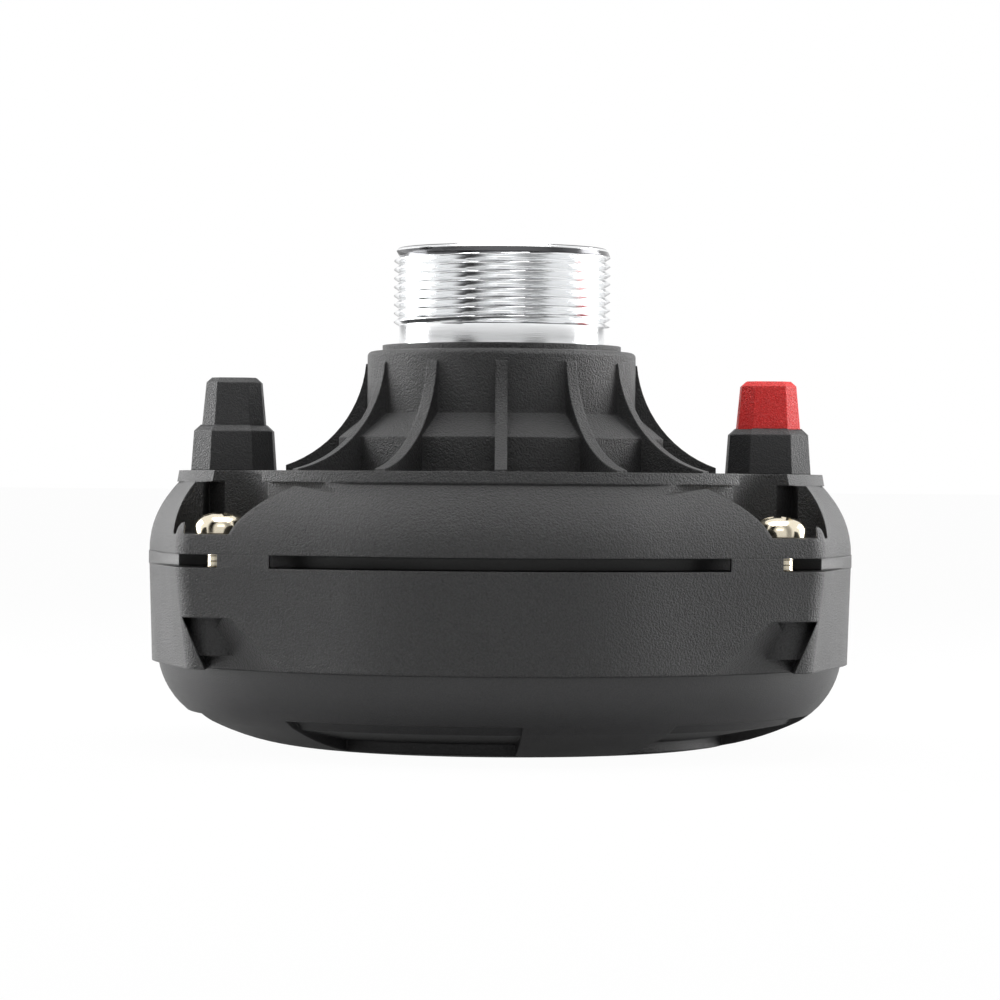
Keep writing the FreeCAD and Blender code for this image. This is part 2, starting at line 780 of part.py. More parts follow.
def build():
    """Every piece by its name."""
    yoke_foot, magnet_foot, plate_foot, plate_top = motor_heights()
    coil_top = frame_top
    former_foot = coil_top - former_length
    winding_top = coil_top - winding_offset
    former_outer = coil_radius + former_wall
    pieces = {
        "front_housing": front_housing(),
        "rear_shell": rear_shell(),
        "rear_cap": rear_cap(),
        "housing_screws": screws(),
        "threaded_inserts": inserts(),
        "throat_tube": throat_tube(),
        "phase_plug": phase_plug(),
        "throat_gasket": tube(flange_radius, flange_radius - gasket_width,
                              frame_top + surround_wall, plug_base()),
        "diaphragm_ring": diaphragm_ring(),
        "surround": surround(),
        "diaphragm_dome": dome(),
        "coil_former": tube(former_outer, coil_radius, former_foot, coil_top),
        "coil_winding": tube(former_outer + winding_wall, former_outer,
                             winding_top - winding_length, winding_top),
        "top_plate": tube(plate_radius, plate_bore, plate_foot, plate_top),
        "ring_magnet": tube(magnet_radius, magnet_bore, magnet_foot, plate_foot),
        "pole_yoke": yoke(),
        "pole_felt": tube(felt_radius, 0, plate_top, plate_top + felt_thickness),
        "damping_pad": tube(pad_radius, 0, cap_floor, yoke_foot),
    }
    for side, name in ((1, "positive"), (-1, "negative")):
        pieces[name + "_terminal_base"] = terminal_base(side)
        pieces[name + "_push_cap"] = button(side)
        pieces[name + "_return_spring"] = return_spring(side)
        pieces[name + "_contact_blade"] = contact_blade(side)
        pieces[name + "_coil_lead"] = coil_lead(side)
    return pieces


os.makedirs("parts", exist_ok=True)
for node, shape in build().items():
    shape.exportStep("parts/" + node + ".step")
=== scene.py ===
# %% [markdown]
# # A compression driver, dressed
# The frame below holds the driver as it was constructed: every piece at its real size, in metres,
# with +Z along the throat. Nothing here moves those pieces. This file gives them their finish, adds
# the fine threads and the screw heads that the solids leave out or simplify, and sets up the light
# and the camera.

# %% Load the frame
import bpy, bmesh, math
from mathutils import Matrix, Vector


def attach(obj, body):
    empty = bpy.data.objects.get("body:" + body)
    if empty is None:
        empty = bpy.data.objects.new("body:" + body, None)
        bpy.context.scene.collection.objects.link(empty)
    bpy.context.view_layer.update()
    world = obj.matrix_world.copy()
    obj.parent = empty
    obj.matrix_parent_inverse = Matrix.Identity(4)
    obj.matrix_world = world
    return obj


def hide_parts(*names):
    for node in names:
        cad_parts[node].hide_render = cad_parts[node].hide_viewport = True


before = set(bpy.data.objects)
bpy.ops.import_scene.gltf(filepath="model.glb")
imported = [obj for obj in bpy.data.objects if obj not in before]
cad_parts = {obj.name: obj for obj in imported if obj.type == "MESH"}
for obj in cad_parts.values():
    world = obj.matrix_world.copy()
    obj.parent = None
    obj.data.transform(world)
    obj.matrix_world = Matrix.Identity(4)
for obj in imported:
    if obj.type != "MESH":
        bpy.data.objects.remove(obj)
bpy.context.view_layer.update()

MM = 0.001
print("nodes:", len(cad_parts))

# %% [markdown]
# ## The camera
# The photograph was taken from far off with a long lens, level with the shoulder of the housing.
# The distance comes from how much smaller the back looks than the front. A small roll matches the
# photograph, whose right side sits a little lower.

# %% Camera
EYE_DISTANCE = 0.628
EYE_HEIGHT = 0.0416
AIM_HEIGHT = 0.0395
LENS = 139.9
ROLL = math.radians(0.42)
SIDE = -0.0001

camera_data = bpy.data.cameras.new("camera")
camera_data.lens = LENS
camera_data.sensor_width = 36.0
camera_data.clip_start = 0.01
camera = bpy.data.objects.new("camera", camera_data)
bpy.context.collection.objects.link(camera)
camera.location = (SIDE, -EYE_DISTANCE, EYE_HEIGHT)
tilt = math.atan2(EYE_HEIGHT - AIM_HEIGHT, EYE_DISTANCE)
camera.rotation_mode = "XYZ"
camera.rotation_euler = (math.pi / 2 - tilt, 0.0, 0.0)
camera.rotation_euler.rotate_axis("Z", ROLL)
bpy.context.scene.camera = camera
print("camera tilt in degrees:", round(math.degrees(tilt), 3))

# %% [markdown]
# ## The light
# Black plastic on white gets its light from what it mirrors. At a shallow angle the skin mirrors
# the bright studio, so the flanks turn pale. Head on it mirrors little, so the front stays dark.
# The world is therefore white to the camera, bright to mirrors and dim to the rest. To mirrors it
# has a tall dark flag on each side of the camera, black on the left and grey on the right: they are
# the dark streaks down the throat. The direction comes from the world's own coordinates.

# %% World
WORLD_DIFFUSE = 0.3
MIRROR_SIDE = 0.95
MIRROR_FRONT = 0.74
FRONT_FADE = (0.3, 0.95)    # how far round the darker front spreads
FLAGS = ((math.radians(-41.0), 0.0), (math.radians(38.0), 0.4))    # turn, and brightness
FLAG_CORE = 0.1
FLAG_EDGE = 0.3
FLAG_HALF = (0.3, 0.6)      # keeps a flag on its own side of the sky

scene = bpy.context.scene
scene.view_settings.view_transform = "Standard"
world = bpy.data.worlds.new("studio")
scene.world = world
world.use_nodes = True
nodes, links = world.node_tree.nodes, world.node_tree.links
nodes.clear()


def background(strength):
    """A white background of one strength."""
    shader = nodes.new("ShaderNodeBackground")
    shader.inputs["Color"].default_value = (1, 1, 1, 1)
    shader.inputs["Strength"].default_value = strength
    return shader


def facing(direction):
    """How much the world's direction agrees with one direction, from -1 to 1."""
    dot = nodes.new("ShaderNodeVectorMath")
    dot.operation = "DOT_PRODUCT"
    dot.inputs[1].default_value = direction
    links.new(sky.outputs["Generated"], dot.inputs[0])
    return dot.outputs["Value"]


def ramp(value, low, high, at_low, at_high):
    """Map a value smoothly from one span to another."""
    node = nodes.new("ShaderNodeMapRange")
    node.interpolation_type = "SMOOTHSTEP"
    settings = {"From Min": low, "From Max": high, "To Min": at_low, "To Max": at_high}
    for name, number in settings.items():
        node.inputs[name].default_value = number
    links.new(value, node.inputs["Value"])
    return node.outputs["Result"]


def maths(operation, *values):
    """One Math node on sockets or numbers."""
    node = nodes.new("ShaderNodeMath")
    node.operation = operation
    for socket, value in zip(node.inputs, values):
        if isinstance(value, (int, float)):
            socket.default_value = value
        else:
            links.new(value, socket)
    return node.outputs[0]


sky = nodes.new("ShaderNodeTexCoord")
level = ramp(facing((0.0, -1.0, 0.0)), *FRONT_FADE, MIRROR_SIDE, MIRROR_FRONT)
for turn, darkness in FLAGS:
    across = maths("ABSOLUTE", facing((math.cos(turn), math.sin(turn), 0.0)))
    strip = ramp(across, FLAG_CORE, FLAG_EDGE, darkness, 1.0)
    beyond = ramp(facing((math.sin(turn), -math.cos(turn), 0.0)), *FLAG_HALF, 1.0, 0.0)
    level = maths("MULTIPLY", level, maths("MAXIMUM", strip, beyond))

mirrored = background(1.0)
links.new(level, mirrored.inputs["Strength"])
path = nodes.new("ShaderNodeLightPath")
for_mirrors = nodes.new("ShaderNodeMixShader")
links.new(maths("MAXIMUM", path.outputs["Is Glossy Ray"], path.outputs["Is Transmission Ray"]),
          for_mirrors.inputs["Fac"])
links.new(background(WORLD_DIFFUSE).outputs[0], for_mirrors.inputs[1])
links.new(mirrored.outputs[0], for_mirrors.inputs[2])
for_camera = nodes.new("ShaderNodeMixShader")
links.new(path.outputs["Is Camera Ray"], for_camera.inputs["Fac"])
links.new(for_mirrors.outputs[0], for_camera.inputs[1])
links.new(background(1.0).outputs[0], for_camera.inputs[2])
world_out = nodes.new("ShaderNodeOutputWorld")
links.new(for_camera.outputs[0], world_out.inputs["Surface"])
print("world nodes:", len(nodes))

# %% [markdown]
# Two soft boxes left and right, a little behind the driver, give the flanks their shape. One
# overhead draws the top edges, and a weak one above the camera fills the front.

# %% Lamps
LAMPS = {    # place, width, height, power
    "left_box": ((-0.5, 0.2, 0.12), 0.35, 0.5, 3.8),
    "right_box": ((0.5, 0.2, 0.12), 0.35, 0.5, 3.8),
    "top_box": ((0.0, -0.05, 0.6), 0.5, 0.4, 2.8),
    "front_box": ((0.0, -0.9, 0.5), 0.5, 0.3, 0.5),
}
CENTRE = Vector((0.0, 0.0, 0.035))


def soft_box(name, place, width, height, power):
    """A rectangular lamp that looks at the middle of the driver."""
    data = bpy.data.lights.new(name, "AREA")
    data.shape = "RECTANGLE"
    data.size = width
    data.size_y = height
    data.energy = power
    lamp = bpy.data.objects.new(name, data)
    bpy.context.collection.objects.link(lamp)
    lamp.location = place
    lamp.rotation_euler = (CENTRE - Vector(place)).to_track_quat("-Z", "Y").to_euler()


for name, settings in LAMPS.items():
    soft_box(name, *settings)
print("lamps:", len(LAMPS))

# %% [markdown]
# ## The floor
# The driver stands on a white floor that runs back to the horizon. To the camera it is almost all
# plain white, and a small share is real shading, which keeps the driver's faint shadow. What the
# driver mirrors of it is mostly the real shading.

# %% Floor
FLOOR_SIZE = 80.0
FLOOR_WHITE = 0.97
FLOOR_MIRRORED = 0.15
FLOOR_GREY = 0.8

bpy.ops.mesh.primitive_plane_add(size=FLOOR_SIZE, location=(0, 0, 0))
floor = bpy.context.object
floor.name = "floor"
floor_paint = bpy.data.materials.new("floor_paint")
floor_paint.use_nodes = True
nodes, links = floor_paint.node_tree.nodes, floor_paint.node_tree.links
nodes.clear()
floor_out = nodes.new("ShaderNodeOutputMaterial")
matt = nodes.new("ShaderNodeBsdfDiffuse")
matt.inputs["Color"].default_value = (FLOOR_GREY, FLOOR_GREY, FLOOR_GREY, 1)
glow = nodes.new("ShaderNodeEmission")
glow.inputs["Strength"].default_value = 1.0
path = nodes.new("ShaderNodeLightPath")
seen = nodes.new("ShaderNodeMath")
seen.operation = "MULTIPLY"
seen.inputs[1].default_value = FLOOR_WHITE
links.new(path.outputs["Is Camera Ray"], seen.inputs[0])
share = nodes.new("ShaderNodeMath")
share.operation = "MULTIPLY_ADD"
share.inputs[1].default_value = FLOOR_MIRRORED
links.new(path.outputs["Is Glossy Ray"], share.inputs[0])
links.new(seen.outputs[0], share.inputs[2])
mix = nodes.new("ShaderNodeMixShader")
links.new(share.outputs[0], mix.inputs["Fac"])
links.new(matt.outputs[0], mix.inputs[1])
links.new(glow.outputs[0], mix.inputs[2])
links.new(mix.outputs[0], floor_out.inputs["Surface"])
floor.data.materials.append(floor_paint)
print("floor metres across:", FLOOR_SIZE)

# %% [markdown]
# ## Moulded grain
# Housings like this come out of a spark-eroded mould: the skin is covered in tiny soft pits a third
# of a millimetre across, and no edge of it is sharp. One node group makes that skin as a normal
# and a faint change of colour and roughness, and every moulded piece uses it with its own size and
# depth. A Bevel node under the pits rounds the normal near each edge, so edges catch the light.

# %% Grain group
PIT_HEIGHT = 0.2 * MM
PIT_SPAN = (0.3, 0.7)        # the part of the noise that becomes pits
PATCH_SCALE = 60.0           # wide patches that polish differently
PATCH_SPREAD = 0.16
BEVEL_SAMPLES = 6


def grain_group():
    """Node group: pitted moulding skin as a normal, a tone and a roughness."""
    tree = bpy.data.node_groups.new("moulded_grain", "ShaderNodeTree")
    face = tree.interface
    for name, value in (("Scale", 2600.0), ("Depth", 0.3), ("Tone", 0.02), ("Rough", 0.55),
                        ("Edge Radius", 0.0004)):
        socket = face.new_socket(name, in_out="INPUT", socket_type="NodeSocketFloat")
        socket.default_value = value
    face.new_socket("Colour", in_out="OUTPUT", socket_type="NodeSocketColor")
    face.new_socket("Roughness", in_out="OUTPUT", socket_type="NodeSocketFloat")
    face.new_socket("Normal", in_out="OUTPUT", socket_type="NodeSocketVector")
    nodes, links = tree.nodes, tree.links
    given = nodes.new("NodeGroupInput")
    result = nodes.new("NodeGroupOutput")
    place = nodes.new("ShaderNodeTexCoord")
    noise = nodes.new("ShaderNodeTexNoise")
    noise.inputs["Detail"].default_value = 3.0
    noise.inputs["Roughness"].default_value = 0.6
    links.new(place.outputs["Object"], noise.inputs["Vector"])
    links.new(given.outputs["Scale"], noise.inputs["Scale"])
    contrast = nodes.new("ShaderNodeMapRange")
    contrast.inputs["From Min"].default_value = PIT_SPAN[0]
    contrast.inputs["From Max"].default_value = PIT_SPAN[1]
    links.new(noise.outputs["Fac"], contrast.inputs["Value"])
    bump = nodes.new("ShaderNodeBump")
    bump.inputs["Distance"].default_value = PIT_HEIGHT
    links.new(given.outputs["Depth"], bump.inputs["Strength"])
    links.new(contrast.outputs["Result"], bump.inputs["Height"])
    edge = nodes.new("ShaderNodeBevel")
    edge.samples = BEVEL_SAMPLES
    links.new(given.outputs["Edge Radius"], edge.inputs["Radius"])
    links.new(edge.outputs["Normal"], bump.inputs["Normal"])
    links.new(bump.outputs["Normal"], result.inputs["Normal"])
    wide = nodes.new("ShaderNodeTexNoise")
    wide.inputs["Scale"].default_value = PATCH_SCALE
    wide.inputs["Detail"].default_value = 2.0
    links.new(place.outputs["Object"], wide.inputs["Vector"])
    shift = nodes.new("ShaderNodeMath")
    shift.operation = "MULTIPLY_ADD"
    shift.inputs[1].default_value = PATCH_SPREAD
    shift.inputs[2].default_value = -PATCH_SPREAD / 2
    links.new(wide.outputs["Fac"], shift.inputs[0])
    rough = nodes.new("ShaderNodeMath")
    rough.operation = "ADD"
    links.new(shift.outputs[0], rough.inputs[0])
    links.new(given.outputs["Rough"], rough.inputs[1])
    links.new(rough.outputs[0], result.inputs["Roughness"])
    tone = nodes.new("ShaderNodeMath")
    tone.operation = "MULTIPLY"
    links.new(contrast.outputs["Result"], tone.inputs[0])
    links.new(given.outputs["Tone"], tone.inputs[1])
    colour = nodes.new("ShaderNodeCombineColor")
    for channel in ("Red", "Green", "Blue"):
        links.new(tone.outputs[0], colour.inputs[channel])
    links.new(colour.outputs["Color"], result.inputs["Colour"])
    return tree


GRAIN = grain_group()


def new_material(name):
    """A material with an empty tree, its Principled shader and its output."""
    material = bpy.data.materials.new(name)
    material.use_nodes = True
    tree = material.node_tree
    tree.nodes.clear()
    output = tree.nodes.new("ShaderNodeOutputMaterial")
    shader = tree.nodes.new("ShaderNodeBsdfPrincipled")
    tree.links.new(shader.outputs["BSDF"], output.inputs["Surface"])
    return material, tree, shader


def moulded(name, colour, scale, depth, tone, rough):
    """Moulded plastic: a base colour with the grain's tone added, its roughness and its normal."""
    material, tree, shader = new_material(name)
    grain = tree.nodes.new("ShaderNodeGroup")
    grain.node_tree = GRAIN
    settings = {"Scale": scale, "Depth": depth, "Tone": tone, "Rough": rough}
    for socket, value in settings.items():
        grain.inputs[socket].default_value = value
    add = tree.nodes.new("ShaderNodeMix")
    add.data_type = "RGBA"
    add.blend_type = "ADD"
    add.inputs["Factor"].default_value = 1.0
    add.inputs["A"].default_value = (*colour, 1)
    tree.links.new(grain.outputs["Colour"], add.inputs["B"])
    tree.links.new(add.outputs["Result"], shader.inputs["Base Color"])
    tree.links.new(grain.outputs["Roughness"], shader.inputs["Roughness"])
    tree.links.new(grain.outputs["Normal"], shader.inputs["Normal"])
    return material


# Each line gives the base colour, then the pits' scale, their depth, the tone and the roughness.
HOUSING = moulded("housing_plastic", (0.009, 0.009, 0.0095), 3200.0, 0.7, 0.018, 0.44)
CAP = moulded("cap_plastic", (0.014, 0.014, 0.015), 4200.0, 0.22, 0.012, 0.48)
TERMINAL = moulded("terminal_plastic", (0.012, 0.012, 0.013), 3600.0, 0.4, 0.015, 0.5)
RED = moulded("terminal_red", (0.7, 0.012, 0.01), 3600.0, 0.4, 0.05, 0.5)
RED_SHINE = 0.3
RED.node_tree.nodes["Principled BSDF"].inputs["Specular IOR Level"].default_value = RED_SHINE
PLUG = moulded("plug_plastic", (0.012, 0.012, 0.012), 3000.0, 0.15, 0.006, 0.4)
GASKET = moulded("gasket_rubber", (0.015, 0.015, 0.015), 1500.0, 0.4, 0.01, 0.8)
FILM = moulded("surround_film", (0.3, 0.2, 0.07), 1200.0, 0.2, 0.03, 0.35)
FELT = moulded("pole_felt", (0.05, 0.05, 0.05), 900.0, 1.0, 0.06, 0.95)
FERRITE = moulded("ferrite", (0.03, 0.03, 0.032), 1100.0, 0.4, 0.02, 0.6)
print("plastics share the group:", GRAIN.name)

# %% [markdown]
# ## Metals
# Turned metal shows fine rings, because the tool leaves a groove on each turn. Noise squeezed
# sideways, so that it varies mostly with height, gives those rings, finest on the throat and faint
# on the plated screws. The metal's colour is set darker by height alone, on a band over the chamfer
# that leads the thread in and on a thin line at the throat's lip.

# %% Metal materials
RING_HEIGHT = 0.1 * MM
RING_SQUEEZE = 0.03
POLISH_SPREAD = (0.7, 1.3)
DARK_METAL = (0.11, 0.11, 0.115)
LEAD_IN_BAND = (78.7 * MM, 79.5 * MM)
LIP_BAND = (79.85 * MM, 79.98 * MM)


def in_bands(tree, height, bands):
    """A mask that is 1 where the height lies in one of the bands."""
    mask = None
    for low, high in bands:
        near = tree.nodes.new("ShaderNodeMath")
        near.operation = "COMPARE"
        near.inputs[1].default_value = (low + high) / 2
        near.inputs[2].default_value = (high - low) / 2
        tree.links.new(height, near.inputs[0])
        if mask:
            both = tree.nodes.new("ShaderNodeMath")
            both.operation = "MAXIMUM"
            tree.links.new(mask, both.inputs[0])
            tree.links.new(near.outputs[0], both.inputs[1])
            near = both
        mask = near.outputs[0]
    return mask


def metal(name, colour, rough, ring_scale, ring_depth, dark_bands=()):
    """Bright metal with fine turned rings and uneven polish, dark where a band of heights says."""
    material, tree, shader = new_material(name)
    shader.inputs["Metallic"].default_value = 1.0
    shader.inputs["Base Color"].default_value = (*colour, 1)
    place = tree.nodes.new("ShaderNodeTexCoord")
    stretch = tree.nodes.new("ShaderNodeMapping")
    stretch.inputs["Scale"].default_value = (RING_SQUEEZE, RING_SQUEEZE, 1.0)
    tree.links.new(place.outputs["Object"], stretch.inputs["Vector"])
    noise = tree.nodes.new("ShaderNodeTexNoise")
    noise.inputs["Scale"].default_value = ring_scale
    noise.inputs["Detail"].default_value = 4.0
    tree.links.new(stretch.outputs["Vector"], noise.inputs["Vector"])
    bump = tree.nodes.new("ShaderNodeBump")
    bump.inputs["Strength"].default_value = ring_depth
    bump.inputs["Distance"].default_value = RING_HEIGHT
    tree.links.new(noise.outputs["Fac"], bump.inputs["Height"])
    tree.links.new(bump.outputs["Normal"], shader.inputs["Normal"])
    spread = tree.nodes.new("ShaderNodeMapRange")
    spread.inputs["To Min"].default_value = rough * POLISH_SPREAD[0]
    spread.inputs["To Max"].default_value = rough * POLISH_SPREAD[1]
    tree.links.new(noise.outputs["Fac"], spread.inputs["Value"])
    tree.links.new(spread.outputs["Result"], shader.inputs["Roughness"])
    if dark_bands:
        split = tree.nodes.new("ShaderNodeSeparateXYZ")
        tree.links.new(place.outputs["Object"], split.inputs["Vector"])
        band = tree.nodes.new("ShaderNodeMix")
        band.data_type = "RGBA"
        band.inputs["A"].default_value = (*colour, 1)
        band.inputs["B"].default_value = (*DARK_METAL, 1)
        tree.links.new(in_bands(tree, split.outputs["Z"], dark_bands), band.inputs["Factor"])
        tree.links.new(band.outputs["Result"], shader.inputs["Base Color"])
    return material


# Each line gives the colour, then the roughness, the rings' scale and their depth.
THROAT = metal("throat_metal", (0.91, 0.92, 0.93), 0.16, 9000.0, 0.12,
               dark_bands=(LEAD_IN_BAND, LIP_BAND))
SCREW = metal("screw_plating", (0.93, 0.84, 0.66), 0.14, 3000.0, 0.05)
BRASS = metal("brass", (0.83, 0.63, 0.3), 0.3, 3000.0, 0.1)
FOIL = metal("dome_foil", (0.6, 0.6, 0.62), 0.3, 2000.0, 0.1)
COPPER = metal("winding_copper", (0.72, 0.3, 0.14), 0.35, 6000.0, 0.4)
STEEL = metal("motor_steel", (0.16, 0.16, 0.17), 0.45, 2500.0, 0.15)
SPRING = metal("spring_steel", (0.62, 0.62, 0.62), 0.25, 2500.0, 0.05)
print("materials:", len(bpy.data.materials))

# %% Give every CAD node its finish
FINISH = {
    "front_housing": HOUSING, "rear_shell": HOUSING, "rear_cap": CAP,
    "housing_screws": SCREW, "threaded_inserts": BRASS, "throat_tube": THROAT,
    "phase_plug": PLUG, "throat_gasket": GASKET, "diaphragm_ring": PLUG,
    "surround": FILM, "diaphragm_dome": FOIL, "coil_former": FILM, "coil_winding": COPPER,
    "top_plate": STEEL, "ring_magnet": FERRITE, "pole_yoke": STEEL, "pole_felt": FELT,
    "damping_pad": GASKET,
}
for side, cap_finish in (("positive", RED), ("negative", TERMINAL)):
    FINISH[side + "_terminal_base"] = TERMINAL
    FINISH[side + "_push_cap"] = cap_finish
    FINISH[side + "_return_spring"] = SPRING
    FINISH[side + "_contact_blade"] = BRASS
    FINISH[side + "_coil_lead"] = BRASS

for name, material in FINISH.items():
    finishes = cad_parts[name].data.materials
    finishes.clear()
    finishes.append(material)
print("finished nodes:", len(FINISH))

# %% [markdown]
# ## The throat thread
# The throat carries a fine right-hand thread of 18 turns to the inch. The solid stops at the plain
# outer cylinder, so the whole tube is turned again here with its thread. The skin is a grid of
# points round the axis, and in the threaded zone each point's radius follows the helix: a rule
# of the height and the angle gives the groove. The rest of the outline is the solid's.

# %% Threaded throat
PITCH = 25.4 / 18 * MM
MAJOR = 17.4625 * MM
ROOT = 16.62 * MM
THREAD_LOW = 67.4 * MM
THREAD_HIGH = 78.8 * MM
RELIEF = 16.55 * MM
SEAT_TOP = 64.3 * MM
THROAT_TOP = 80.0 * MM
ROUND_STEPS = 192
THREAD_ROWS = 14             # rows of points in one turn of the thread
GROOVE_FLAT = 0.12           # share of a half turn that is flat, at the root and at the crest
RUN_IN = 0.05 * PITCH
RELIEF_CHAMFER = 0.25 * MM
TUBE_BASE = 32.0 * MM
PLUG_RECESS_TOP = 34.0 * MM
PLUG_SEAT_TOP = 37.0 * MM
FLANGE_TOP = 40.0 * MM
FLANGE = 29.9 * MM
FLANGE_RECESS = 27.2 * MM
NECK = 16.0 * MM
PLUG_SEAT = 20.55 * MM
LEAD_IN_TOP = 79.6 * MM
LEAD_IN = 17.11 * MM
LIP = 16.76 * MM
EXIT = 12.7 * MM
EXIT_CHAMFER = 0.2 * MM
BORE_STRAIGHT_END = 60.0 * MM
BORE_WAIST_HEIGHT = 44.0 * MM
BORE_WAIST = 12.0 * MM
BORE_ENTRY = 14.4 * MM
THROAT_SHARP = math.radians(35)


def thread_radius(height, angle):
    """Radius of the thread's skin at one height and angle."""
    phase = (height - THREAD_LOW) / PITCH - angle / (2 * math.pi)
    wave = abs((phase % 1.0) * 2 - 1)
    flank = min(1.0, max(0.0, (wave - GROOVE_FLAT) / (1 - 2 * GROOVE_FLAT)))
    run_in = min(1.0, max(0.0, (height - THREAD_LOW) / RUN_IN))
    return ROOT + (MAJOR - ROOT) * flank * run_in


def throat_profile():
    """Rows of the tube's outline: a height, and a radius, or None in the thread."""
    rows = [(TUBE_BASE, FLANGE_RECESS), (TUBE_BASE, FLANGE), (FLANGE_TOP, FLANGE),
            (FLANGE_TOP, NECK), (SEAT_TOP, NECK),
            (SEAT_TOP + 0.01 * MM, RELIEF), (THREAD_LOW - RELIEF_CHAMFER, RELIEF)]
    steps = round((THREAD_HIGH - THREAD_LOW) / PITCH * THREAD_ROWS)
    rows += [(THREAD_LOW + (THREAD_HIGH - THREAD_LOW) * i / steps, None) for i in range(steps + 1)]
    rows += [(LEAD_IN_TOP, LEAD_IN), (THROAT_TOP, LIP),
             (THROAT_TOP, EXIT + EXIT_CHAMFER), (THROAT_TOP - EXIT_CHAMFER, EXIT),
             (BORE_STRAIGHT_END, EXIT), (BORE_WAIST_HEIGHT, BORE_WAIST),
             (PLUG_SEAT_TOP, BORE_ENTRY), (PLUG_SEAT_TOP, PLUG_SEAT),
             (PLUG_RECESS_TOP, PLUG_SEAT), (PLUG_RECESS_TOP, FLANGE_RECESS)]
    return rows


def mesh_object(name, bm):
    """Turn a finished bmesh into an object with its normals outwards."""
    bmesh.ops.recalc_face_normals(bm, faces=bm.faces)
    mesh = bpy.data.meshes.new(name)
    bm.to_mesh(mesh)
    bm.free()
    made = bpy.data.objects.new(name, mesh)
    bpy.context.collection.objects.link(made)
    return made


def wall(bm, low, high):
    """Join two rings of the same number of points with a band of faces."""
    count = len(low)
    for i in range(count):
        j = (i + 1) % count
        bm.faces.new((low[i], low[j], high[j], high[i]))


def ring_of(bm, height, radius_at, steps):
    """A ring of points round the axis, whose radius is a rule of the angle."""
    ring = []
    for i in range(steps):
        angle = 2 * math.pi * i / steps
        radius = radius_at(angle)
        ring.append(bm.verts.new((radius * math.cos(angle), radius * math.sin(angle), height)))
    return ring


def smooth(piece, sharp_from=None):
    """Shade a piece smoothly, with sharp edges from one angle on if given."""
    for face in piece.data.polygons:
        face.use_smooth = True
    if sharp_from is not None:
        piece.data.set_sharp_from_angle(angle=sharp_from)


def turned_throat():
    """The whole tube as one closed skin, with the thread where a row's radius is None."""
    bm = bmesh.new()
    rings = []
    for height, radius in throat_profile():
        def radius_at(angle, height=height, radius=radius):
            return thread_radius(height, angle) if radius is None else radius
        rings.append(ring_of(bm, height, radius_at, ROUND_STEPS))
    for low, high in zip(rings, rings[1:] + rings[:1]):
        wall(bm, low, high)
    return mesh_object("threaded_throat", bm)


throat = turned_throat()
throat.data.materials.append(THROAT)
smooth(throat, THROAT_SHARP)
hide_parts("throat_tube")
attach(throat, "driver")
print("throat faces:", len(throat.data.polygons))

# %% [markdown]
# ## Threads on the screws
# The four screws show a few turns of thread where they cross the gap under the ears. A small
# Geometry Nodes tree lays rings along each shank: a line of points, a ring on every point, and
# that stack again at each screw.

# %% Screw threads
SCREW_ACROSS = 42.7 * MM
SCREW_DEPTH = 34.0 * MM
SHANK_RADIUS = 2.03 * MM
SCREW_PITCH = 0.794 * MM
RING_SIZE = 0.12 * MM
SHANK_LOW = 27.6 * MM
RING_COUNT = 7
RING_STEPS = 24
RING_SIDES = 6


def screw_thread_tree(material):
    """Geometry Nodes: rings stacked along a line, repeated on the points of the input mesh."""
    tree = bpy.data.node_groups.new("screw_threads", "GeometryNodeTree")
    face = tree.interface
    face.new_socket("Geometry", in_out="INPUT", socket_type="NodeSocketGeometry")
    for name in ("Shank Radius", "Ring Radius", "Pitch"):
        face.new_socket(name, in_out="INPUT", socket_type="NodeSocketFloat")
    face.new_socket("Rings", in_out="INPUT", socket_type="NodeSocketInt")
    face.new_socket("Geometry", in_out="OUTPUT", socket_type="NodeSocketGeometry")
    nodes, links = tree.nodes, tree.links
    given, result = nodes.new("NodeGroupInput"), nodes.new("NodeGroupOutput")
    path = nodes.new("GeometryNodeCurvePrimitiveCircle")
    path.inputs["Resolution"].default_value = RING_STEPS
    section = nodes.new("GeometryNodeCurvePrimitiveCircle")
    section.inputs["Resolution"].default_value = RING_SIDES
    ring = nodes.new("GeometryNodeCurveToMesh")
    line = nodes.new("GeometryNodeMeshLine")
    step = nodes.new("ShaderNodeCombineXYZ")
    stack = nodes.new("GeometryNodeInstanceOnPoints")
    spread = nodes.new("GeometryNodeInstanceOnPoints")
    real = nodes.new("GeometryNodeRealizeInstances")
    paint = nodes.new("GeometryNodeSetMaterial")
    paint.inputs["Material"].default_value = material
    links.new(given.outputs["Shank Radius"], path.inputs["Radius"])
    links.new(given.outputs["Ring Radius"], section.inputs["Radius"])
    links.new(path.outputs["Curve"], ring.inputs["Curve"])
    links.new(section.outputs["Curve"], ring.inputs["Profile Curve"])
    links.new(given.outputs["Rings"], line.inputs["Count"])
    links.new(given.outputs["Pitch"], step.inputs["Z"])
    links.new(step.outputs["Vector"], line.inputs["Offset"])
    links.new(line.outputs["Mesh"], stack.inputs["Points"])
    links.new(ring.outputs["Mesh"], stack.inputs["Instance"])
    links.new(given.outputs["Geometry"], spread.inputs["Points"])
    links.new(stack.outputs["Instances"], spread.inputs["Instance"])
    links.new(spread.outputs["Instances"], real.inputs["Geometry"])
    links.new(real.outputs["Geometry"], paint.inputs["Geometry"])
    links.new(paint.outputs["Geometry"], result.inputs["Geometry"])
    return tree


def set_input(modifier, name, value):
    """Set one named input of a Geometry Nodes modifier by its socket's identifier."""
    for item in modifier.node_group.interface.items_tree:
        if item.item_type == "SOCKET" and item.in_out == "INPUT" and item.name == name:
            modifier[item.identifier] = value


def evaluated_mesh(piece):
    """The piece's mesh with its modifiers run."""
    depsgraph = bpy.context.evaluated_depsgraph_get()
    return bpy.data.meshes.new_from_object(piece.evaluated_get(depsgraph))


